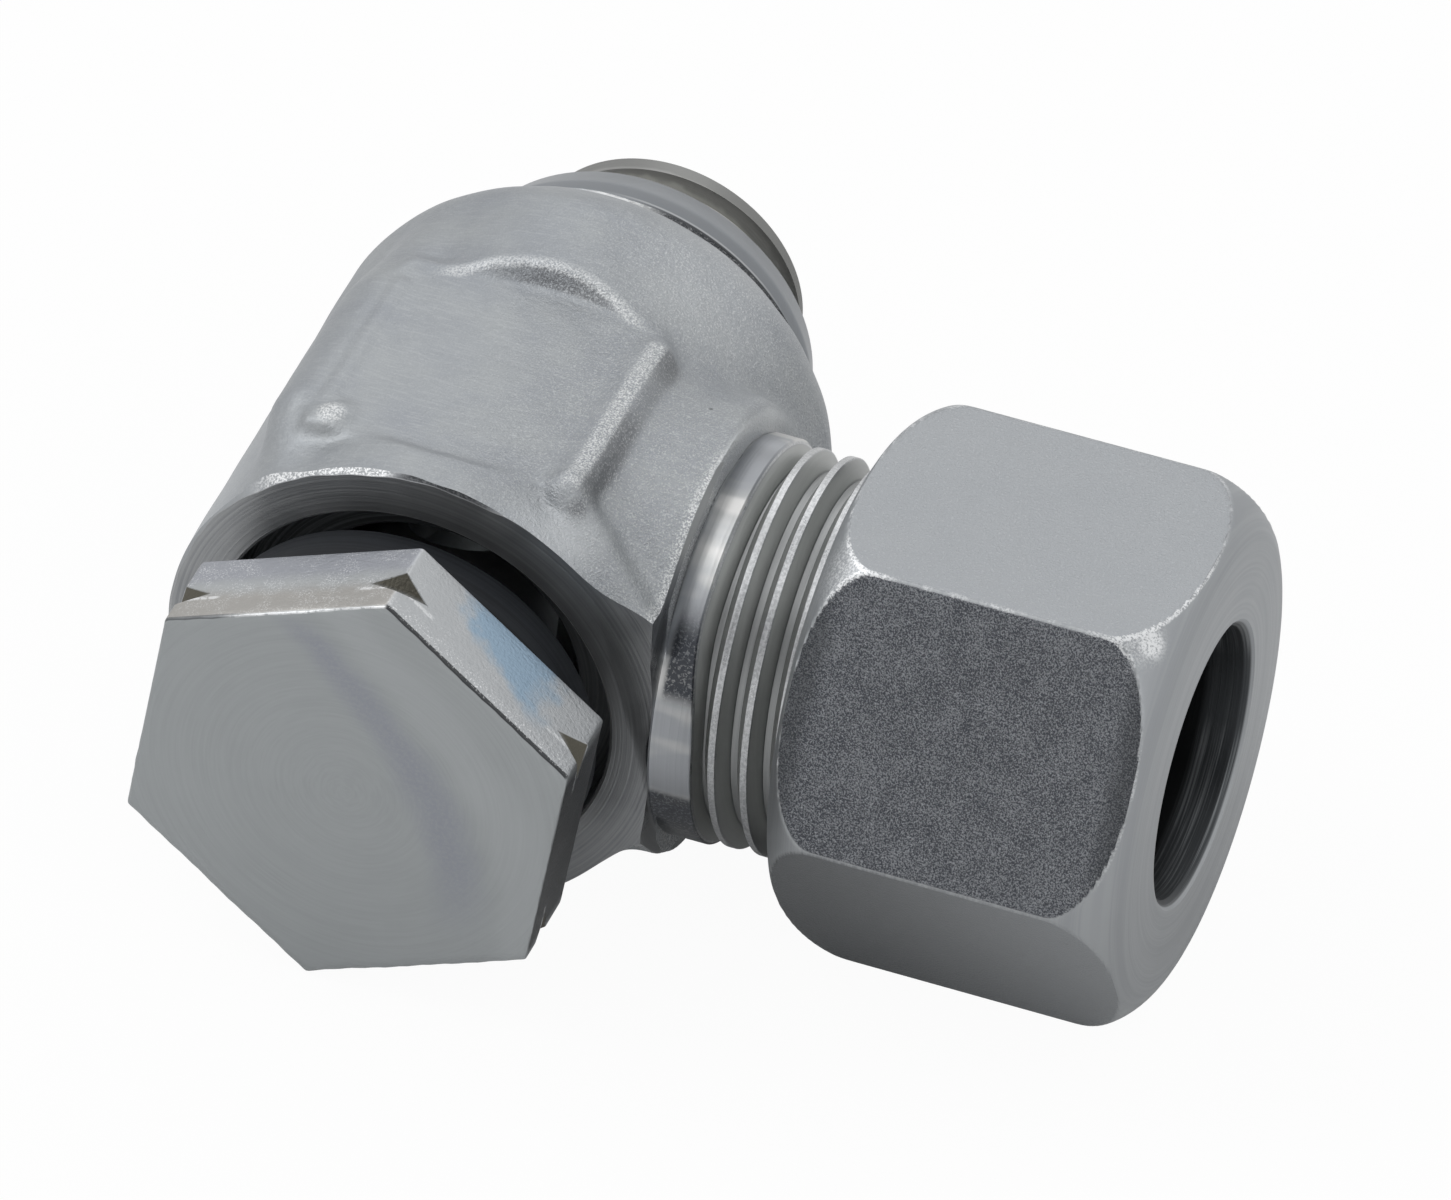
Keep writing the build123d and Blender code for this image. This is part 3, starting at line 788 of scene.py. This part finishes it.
def forgingSkin():
    # surface nets: one point in each cell that the skin passes through
    step = body["step"]
    low = np.array([-12.6, -10.2, -11.7])
    high = np.array([12.9, 20.0, 12.4])
    sizes = [np.arange(low[k], high[k] + step, step) for k in range(3)]
    grid = np.meshgrid(*sizes, indexing="ij")
    field = forgingField(grid)
    inside = field < 0
    shape = np.array(field.shape) - 1
    unit = np.eye(3, dtype=int)
    total = np.zeros((*shape, 3), np.float32)
    count = np.zeros(shape, np.float32)

    def part(array, low, size):
        return array[tuple(slice(a, a + n) for a, n in zip(low, size))]
    for axis in range(3):
        u, v = [k for k in range(3) if k != axis]
        for du, dv in ((0, 0), (0, 1), (1, 0), (1, 1)):
            at = du * unit[u] + dv * unit[v]
            a, b = part(field, at, shape), part(field, at + unit[axis], shape)
            cross = (a < 0) != (b < 0)
            total[..., axis] += np.where(cross, a / np.where(cross, a - b, 1), 0)
            total[..., u] += du * cross
            total[..., v] += dv * cross
            count += cross
    cells = count > 0
    number = np.full(shape, -1)
    number[cells] = np.arange(cells.sum())
    where = np.argwhere(cells)
    points = (where + total[cells] / count[cells][:, None]) * step + low
    # a face wherever two neighbours on the grid lie on both sides of the skin
    faces = []
    for axis in range(3):
        u, v = (axis + 1) % 3, (axis + 2) % 3
        begin = 1 - unit[axis]
        here = part(inside, begin, shape - begin)
        there = part(inside, begin + unit[axis], shape - begin)
        spots = np.argwhere(here != there) + begin
        flip = ~here[here != there]
        quads = np.stack([number[tuple((spots + du * unit[u] + dv * unit[v]).T)]
                          for du, dv in ((-1, -1), (0, -1), (0, 0), (-1, 0))], 1)
        quads[flip] = quads[flip][:, ::-1]
        faces.append(quads)
    # draw the points onto the skin, apart from those that machining takes away
    probe = 0.02
    for _ in range(2):
        p = points.T
        value = forgingField(p)
        slope = np.stack([forgingField(p + probe * np.eye(3)[:, k:k + 1]) - value
                          for k in range(3)], 1) / probe
        size = (slope ** 2).sum(1)
        move = slope * (value / np.maximum(size, 0.2))[:, None]
        keep = (size > 0.2) & (p[1] < 15.2) & (p[1] > -9.6)
        points = points - np.where(keep[:, None], np.clip(move, -0.1, 0.1), 0)
    return meshObject("fittingBody", points, np.concatenate(faces).tolist(), "forged")


fitting = forgingSkin()
print("forging", len(fitting.data.polygons), "faces")


# Body: machining

machining = {
    "frontFace": -9.0, "frontEdge": 11.34, "bevel": 1.0, "neckFront": 11.2,
    "threadRadius": 9.0, "threadPitch": 1.5, "threadDepth": 0.92, "threadStart": 11.6,
    "rootWidth": 0.3, "crestAt": 14.0, "crestAngle": 174.0,
    # station and radius of the branch
    "branch": ((3, 0), (3, 7.0), (10.5, 8.0), (11.5, 9.0), (23.5, 9.0), (24.3, 8.2), (24.4, 8.1),
               (24.4, 0)),
    # counterbore, bore with its oil chamber, port recess
    "boltBore": ((-12, 0), (-12, 9.43), (-9.0, 9.43), (-8.86, 9.28), (-6.4, 9.28), (-6.4, 7.0),
                 (-6.25, 6.85), (-4.2, 6.85), (-4.2, 7.9), (4.2, 7.9), (4.2, 6.85), (17.8, 6.85),
                 (17.8, 7.8), (18.9, 7.8), (19.02, 7.92), (20, 7.92), (20, 0)),
    # oil way, tube seat and cone
    "branchBore": ((0, 0), (0, 4.6), (17.4, 4.6), (17.4, 6.1), (19.46, 6.1), (24.28, 7.124),
                   (24.42, 7.26), (26, 7.26), (26, 0)),
    # station, radius, and the share of the groove's depth, the rise or the widening
    "collar": ((19.0, 8.2, 0), (18.7, 8.5, 0), (16.2, 9.32, 0), (15.95, 9.38, 0.03),
               (15.85, 9.42, 0.35), (15.7, 9.48, 0.55), (15.45, 9.55, 0.6), (15.45, 15, 0),
               (22, 15, 0)),
    "facing": ((12.0, 9.1, 0), (11.4, 9.12, 0.7), (11.25, 9.19, 0.9), (11.15, 9.4, 1),
               (11.08, 9.8, 1), (10.98, 10.2, 1), (11.0, 13.0, 1), (16, 14.0, 0)),
    "neckRing": ((4, 7.2, 0), (11.0, 9.0, 0), (11.3, 9.15, 0), (12.4, 9.15, 1),
                 (12.45, 9.1, 1), (12.88, 8.3, 0.6), (13.0, 8.05, 0.5)),
}
s = machining
frontFace = s["frontFace"]

# the flat of the front face, left standing under the neck of the branch
corners = np.array([(x, y, z) for x in (-20, s["neckFront"]) for y in (-20, frontFace)
                    for z in (-20, 20)])
sides = [(0, 1, 3, 2), (4, 6, 7, 5), (0, 4, 5, 1), (2, 3, 7, 6), (0, 2, 6, 4), (1, 5, 7, 3)]
combine(fitting, meshObject("frontCut", corners, outward(corners, sides), "barrel"))

# bevel of the front face; its width wanders, and it fades towards the branch
angles = wholeTurn(360)
fade = smoothStep(0.95, 1.35, np.abs(np.arctan2(np.sin(angles), np.cos(angles))))
ragged = 0.05 * np.sin(5 * angles + 1) + 0.035 * np.sin(13 * angles)
ragged = ragged + 0.02 * np.sin(37 * angles + 2)
edge = s["frontEdge"] + 0.6 * (1 - fade) + ragged
deep = frontFace - 0.2 + 1.2 * fade
combine(fitting, skinAbout("bevelCut", "y", [
    (frontFace - 0.6, edge - 0.6), (deep, edge + s["bevel"] * fade - 0.2 * (1 - fade)),
    (deep, edge + 2.5), (frontFace - 0.6, edge + 2.5)], "barrel", angles, True))

# collar behind a groove that fades out on the left side
angles = wholeTurn(240)
turn = np.arctan2(np.cos(angles), np.sin(angles))       # from the top towards the branch
groove = smoothStep(-0.45, 0.0, turn) * (1 - smoothStep(2.0, 2.6, turn))
combine(fitting, skinAbout("collarCut", "y", [
    (19.0, 0), *((station, radius - deep * groove) for station, radius, deep in s["collar"]),
    (22, 0)], "barrel", angles))

# the neck is faced right through in front, and the cut rises out of the metal behind
behind = 0.5 + 0.5 * np.cos(angles - math.radians(10))
rise = 1.5 * smoothStep(0.5, 0.85, behind)
combine(fitting, skinAbout("neckCut", "x", [
    (12.0, 0), *((station + share * rise, radius) for station, radius, share in s["facing"]),
    (16, 0)], "branch", angles))

stub = skinAbout("branchStub", "x", s["branch"], "branch")
startAngle = 60.0
# x of the groove's middle at the angle where it starts, taken back to the thread's start
pitch = s["threadPitch"]
startAt = s["crestAt"] - pitch / 2 + pitch * (startAngle - s["crestAngle"]) / 360
while startAt > s["threadStart"]:
    startAngle -= 15.0
    startAt -= pitch * 15 / 360
sizes = threadSizes(s, (24.9 - startAt) / pitch, math.radians(startAngle), 0.02, 900)
combine(stub, grooveCutter("branchThread", sizes, "branch",
                           Matrix.Translation((startAt, 0, 0)) @ alongX))
# the plain ring stands over the first turn
degrees = np.degrees(angles)
wide = 0.65 * smoothStep(135, 178, degrees) * (1 - smoothStep(250, 300, degrees))
combine(stub, skinAbout("neckRing", "x", [
    (4, 0), *((station + share * wide, radius) for station, radius, share in s["neckRing"]),
    (13.0, 0)], "branch", angles), "UNION")
combine(fitting, stub, "UNION")

combine(fitting, skinAbout("boltBore", "y", s["boltBore"], "barrel"))
combine(fitting, skinAbout("branchBore", "x", s["branchBore"], "branch"))
finished(fitting, "housing", "body")
print("body made")


# Hollow bolt

hollowBolt = {
    "acrossFlats": 19.0, "headFront": -16.8, "headBack": -12.35,
    "threadRadius": 6.58, "threadPitch": 1.337, "threadDepth": 0.856, "rootWidth": 0.28,
    # station and radius: notch in the head's corners, shank with its waist, drillings
    "notch": ((-14.95, 10.26), (-16.35, 11.66), (-16.35, 13), (-13.55, 13), (-13.55, 11.66)),
    "shank": ((-14, 0), (-14, 6.4), (-12.6, 6.75), (-7.8, 6.75), (-6.9, 5.5), (0.3, 5.5),
              (1.2, 6.75), (15.2, 6.75), (15.8, 5.624), (18.8, 5.624), (19.4, 5.75),
              (20.0, 6.58), (22.6, 6.58), (23.3, 5.88), (23.4, 5.78), (23.4, 0)),
    "drilling": ((-6.9, 0), (-6.2, 3.25), (23.2, 3.25), (23.45, 3.5), (26, 3.5), (26, 0)),
    "crossHole": ((-15, 0), (-15, 2.4), (15, 2.4), (15, 0)), "crossAt": -3.3,
}


def hexRadius(angles, apothem, firstNormal, soft):
    # outline of a hexagon with softly rounded corners
    turns = [np.cos(angles - firstNormal - k * math.pi / 3) for k in range(6)]
    ordered = np.sort(np.stack(turns), axis=0)
    return apothem / softMax(ordered[-1], ordered[-2], soft)


def hexAngles(firstNormal, count):
    # angles, closer together at the corners
    part = np.linspace(-1, 1, count, endpoint=False)
    bent = np.sign(part) * (1 - (1 - np.abs(part)) ** 1.6)
    return np.concatenate([firstNormal + math.radians(60 * k) + math.radians(30) * bent
                           for k in range(6)])


s = hollowBolt
front, back, apothem = s["headFront"], s["headBack"], s["acrossFlats"] / 2
normal = math.radians(boltLook["turn"] - 30)
angles = hexAngles(normal, 40)
outline = hexRadius(angles, apothem, normal, 0.012)
burr = 0.03 * np.sin(11 * angles) * np.sin(4 * angles + 1) + 0.015 * np.sin(53 * angles)
head = [(front, 0)]
head += [(front, outline * (1 - inset / apothem)) for inset in (7.0, 4.0, 1.2, 0.5, 0.14 + burr)]
head += [(front + 0.05, outline * (1 - (0.045 + burr) / apothem)), (front + 0.16, outline - 0.005)]
head += [(station, outline) for station in (-16.3, -15.6, -14.8, -14.0, -13.2, -12.6)]
head += [(back - 0.1, outline * (1 - 0.02 / apothem)), (back, outline * (1 - 0.12 / apothem)),
         (back, 0)]
bolt = skinAbout("hollowBolt", "y", head, "bolt", angles)
combine(bolt, skinAbout("notchCut", "y", s["notch"], "bolt", wholeTurn(240), True))
combine(bolt, skinAbout("boltShank", "y", s["shank"], "bolt"), "UNION")
combine(bolt, grooveCutter("portThread", threadSizes(s, 1.65, 0.4, 0.01, 320, 0.97), "bolt",
                           Matrix.Translation((0, 20.08, 0)) @ alongY))
combine(bolt, skinAbout("boltDrilling", "y", s["drilling"], "bolt", wholeTurn(96)))
for spin in (0, 90):
    drill = skinAbout("crossHole", "x", s["crossHole"], "bolt", wholeTurn(72))
    drill.data.transform(Matrix.Translation((0, s["crossAt"], 0))
                         @ Matrix.Rotation(math.radians(spin), 4, "Y"))
    combine(bolt, drill)
finished(bolt, "hollow_bolt", "banjo_bolt")
print("bolt made")


# Union nut

unionNut = {
    "acrossFlats": 22.0, "rootRadius": 8.6,
    # station and radius: the curved bevels at both ends, and the inside from its bore back
    "innerArc": ((17.2, 10.4), (18.3, 12.0), (20.5, 12.72)),
    "outerArc": ((30.0, 12.72), (32.45, 12.0), (33.7, 10.2)),
    "inside": ((33.7, 8.2), (33.7, 6.6), (33.62, 6.5), (33.35, 6.22), (33.3, 6.2), (30.52, 6.2),
               (30.46, 6.24), (27.66, 9.04), (27.58, 9.08), (17.8, 9.08), (17.25, 9.63),
               (17.2, 9.7)),
}


def arcThrough(three, count):
    # points on the circle through three points, taken as complex numbers
    a, b, c = (complex(*each) for each in three)
    w = (c - a) / (b - a)
    middle = a + (b - a) * (w - abs(w) ** 2) / (2j * w.imag)
    turns = np.linspace(np.angle(a - middle), np.angle(c - middle), count)
    spots = middle + abs(a - middle) * np.exp(1j * turns)
    return list(zip(spots.real, spots.imag))


s = unionNut
normal = math.radians(30)
angles = hexAngles(normal, 60)
outline = hexRadius(angles, s["acrossFlats"] / 2, normal, 0.016)
stations = arcThrough(s["innerArc"], 18)
stations += [(x, 12.8) for x in np.linspace(21.0, 29.5, 18)]
stations += arcThrough(s["outerArc"], 20)
profile = [(station, softMin(outline, radius, 0.10)) for station, radius in stations]
nut = skinAbout("unionNut", "x", [*profile, *s["inside"]], "nut", angles, True)
combine(nut, grooveCutter("nutThread", {
    "Turns": 5.6, "Pitch": machining["threadPitch"], "Start Angle": 1.0,
    "Root Radius": s["rootRadius"], "Depth": 0.85, "Root Width": 1.25, "Top Width": 0.3,
    "Run-out": 0.0, "Waver": 0.0, "Points": 500}, "nut",
    Matrix.Translation((17.9, 0, 0)) @ alongX))
finished(nut, "hex_nut", "union_nut")


# Cutting ring and seals, each by the stations and radii of its outline

ringOutlines = {
    "cuttingRing": [
        (22.25, 6.32), (22.2, 6.4), (22.25, 6.58), (24.4, 7.07), (25.0, 7.07), (25.6, 7.7),
        (28.86, 7.7), (28.95, 7.66), (29.68, 6.94), (29.72, 6.86), (29.72, 6.1), (29.66, 6.06),
        (23.4, 6.06), (23.3, 6.12)],
    "headSeal": [
        (-12.30, 6.95), (-12.30, 8.9), (-12.2, 9.07), (-12.02, 9.13), (-10.18, 9.13),
        (-10.0, 9.07), (-9.90, 8.9), (-9.90, 6.95), (-10.02, 6.83), (-10.15, 6.80),
        (-12.05, 6.80), (-12.18, 6.83)],
    "portSeal": [
        (17.82, 6.9), (17.82, 7.55), (17.92, 7.65), (19.22, 7.65), (19.34, 7.6), (19.4, 7.48),
        (19.4, 6.95), (19.33, 6.84), (19.25, 6.81), (17.92, 6.81)],
}


def closedRing(name, axis, finish):
    return skinAbout(name, axis, ringOutlines[name], finish, wholeTurn(160), True)


finished(closedRing("cuttingRing", "x", "ring"), "tube_ring", "cutting_ring")
finished(closedRing("headSeal", "y", "seal"), "shank_ring", "head_seal")
finished(closedRing("portSeal", "y", "portSeal"), "housing", "port_seal")
print("pieces made")


# Floor, light and camera

studio = {
    "floorZ": -0.01101, "floorHalf": 4, "worldDiffuse": 0.55,
    "lamps": (("keyLamp", (-0.35, -0.05, 0.45), 0.35, 0.8),       # place, size and power
              ("fillLamp", (0.45, -0.25, 0.30), 0.30, 0.2),
              ("backLamp", (-0.05, 0.38, 0.42), 0.42, 0.35)),
    "aim": (0.005, -0.018, 0),
    "room": (0.245, -0.736, 0.631), "roomRadius": 0.5,
    "focalPixels": 16000, "photoWidth": 1451, "sensor": 36,
}
white = (1, 1, 1, 1)


def shownRays(start, seen, mirrored):
    # how much of the white shows to the camera, and in a reflection or glass
    rays = start.node("ShaderNodeLightPath", {}, {}, (
        "Is Camera Ray", "Is Glossy Ray", "Is Transmission Ray"))
    return (rays[0] * seen).greater((rays[1] + rays[2]) * mirrored).lesser(1.0)


def oneFace(name, points, material):
    mesh = bpy.data.meshes.new(name)
    mesh.from_pydata(points, [], [range(len(points))])
    mesh.materials.append(material)
    return placed(name, mesh)


def aimed(made, place, aim):
    # an object at a place, looking at the aim
    made.location = place
    made.rotation_euler = (Vector(place) - Vector(aim)).to_track_quat("Z", "Y").to_euler()


world = bpy.data.worlds.new("studioWorld")
bpy.context.scene.world = world
start = bareTree(world)
soft = start.node("ShaderNodeBackground", {}, {"Color": white, "Strength": studio["worldDiffuse"]})
plain = start.node("ShaderNodeBackground", {}, {"Color": white, "Strength": 1.0})
shown = start.node("ShaderNodeMixShader", {}, {0: shownRays(start, 1.0, 1.0), 1: soft, 2: plain})
endTree(world, shown, "ShaderNodeOutputWorld")

floorMaterial = bpy.data.materials.new("paleFloor")
start = bareTree(floorMaterial)
matt = start.node("ShaderNodeBsdfDiffuse", {}, {"Color": (0.97, 0.97, 0.97, 1)})
glow = start.node("ShaderNodeEmission", {}, {"Color": white, "Strength": 1.0})
shown = start.node("ShaderNodeMixShader", {}, {0: shownRays(start, 0.955, 0.06), 1: matt, 2: glow})
endTree(floorMaterial, shown)
half = studio["floorHalf"]
floor = oneFace("floor", [(x, y, studio["floorZ"]) for x, y in (
    (-half, -half), (half, -half), (half, half), (-half, half))], floorMaterial)

for name, place, size, power in studio["lamps"]:
    lamp = bpy.data.lights.new(name, "AREA")
    lamp.size = size
    lamp.energy = power
    aimed(placed(name, lamp), place, studio["aim"])

# the dark room behind the camera, which only the metal's reflections see
cardMaterial = bpy.data.materials.new("darkRoom")
start = bareTree(cardMaterial)
endTree(cardMaterial, start.node("ShaderNodeBsdfDiffuse", {}, {"Color": (0.22, 0.225, 0.235, 1)}))
card = oneFace("darkRoom", [
    (studio["roomRadius"] * math.cos(t), studio["roomRadius"] * math.sin(t), 0)
    for t in np.linspace(0, 2 * math.pi, 48, endpoint=False)], cardMaterial)
aimed(card, studio["room"], (0, 0, 0))
card.visible_camera = False
card.visible_diffuse = False
card.visible_shadow = False
card.visible_transmission = False

camera = placed("camera", bpy.data.cameras.new("camera"))
right = (0.93519, 0.35105, 0.04673)
up = (-0.25588, 0.57857, 0.77446)
back = (0.24483, -0.73622, 0.6309)
spot = (0.18326, -0.53855, 0.44513)
camera.matrix_world = Matrix([[right[k], up[k], back[k], spot[k]] for k in range(3)]
                             + [[0, 0, 0, 1]])
camera.data.sensor_fit = "HORIZONTAL"
camera.data.sensor_width = studio["sensor"]
camera.data.lens = studio["focalPixels"] * studio["sensor"] / studio["photoWidth"]
camera.data.clip_start = 0.05
camera.data.clip_end = 12
bpy.context.scene.camera = camera
bpy.context.scene.view_settings.view_transform = "Standard"
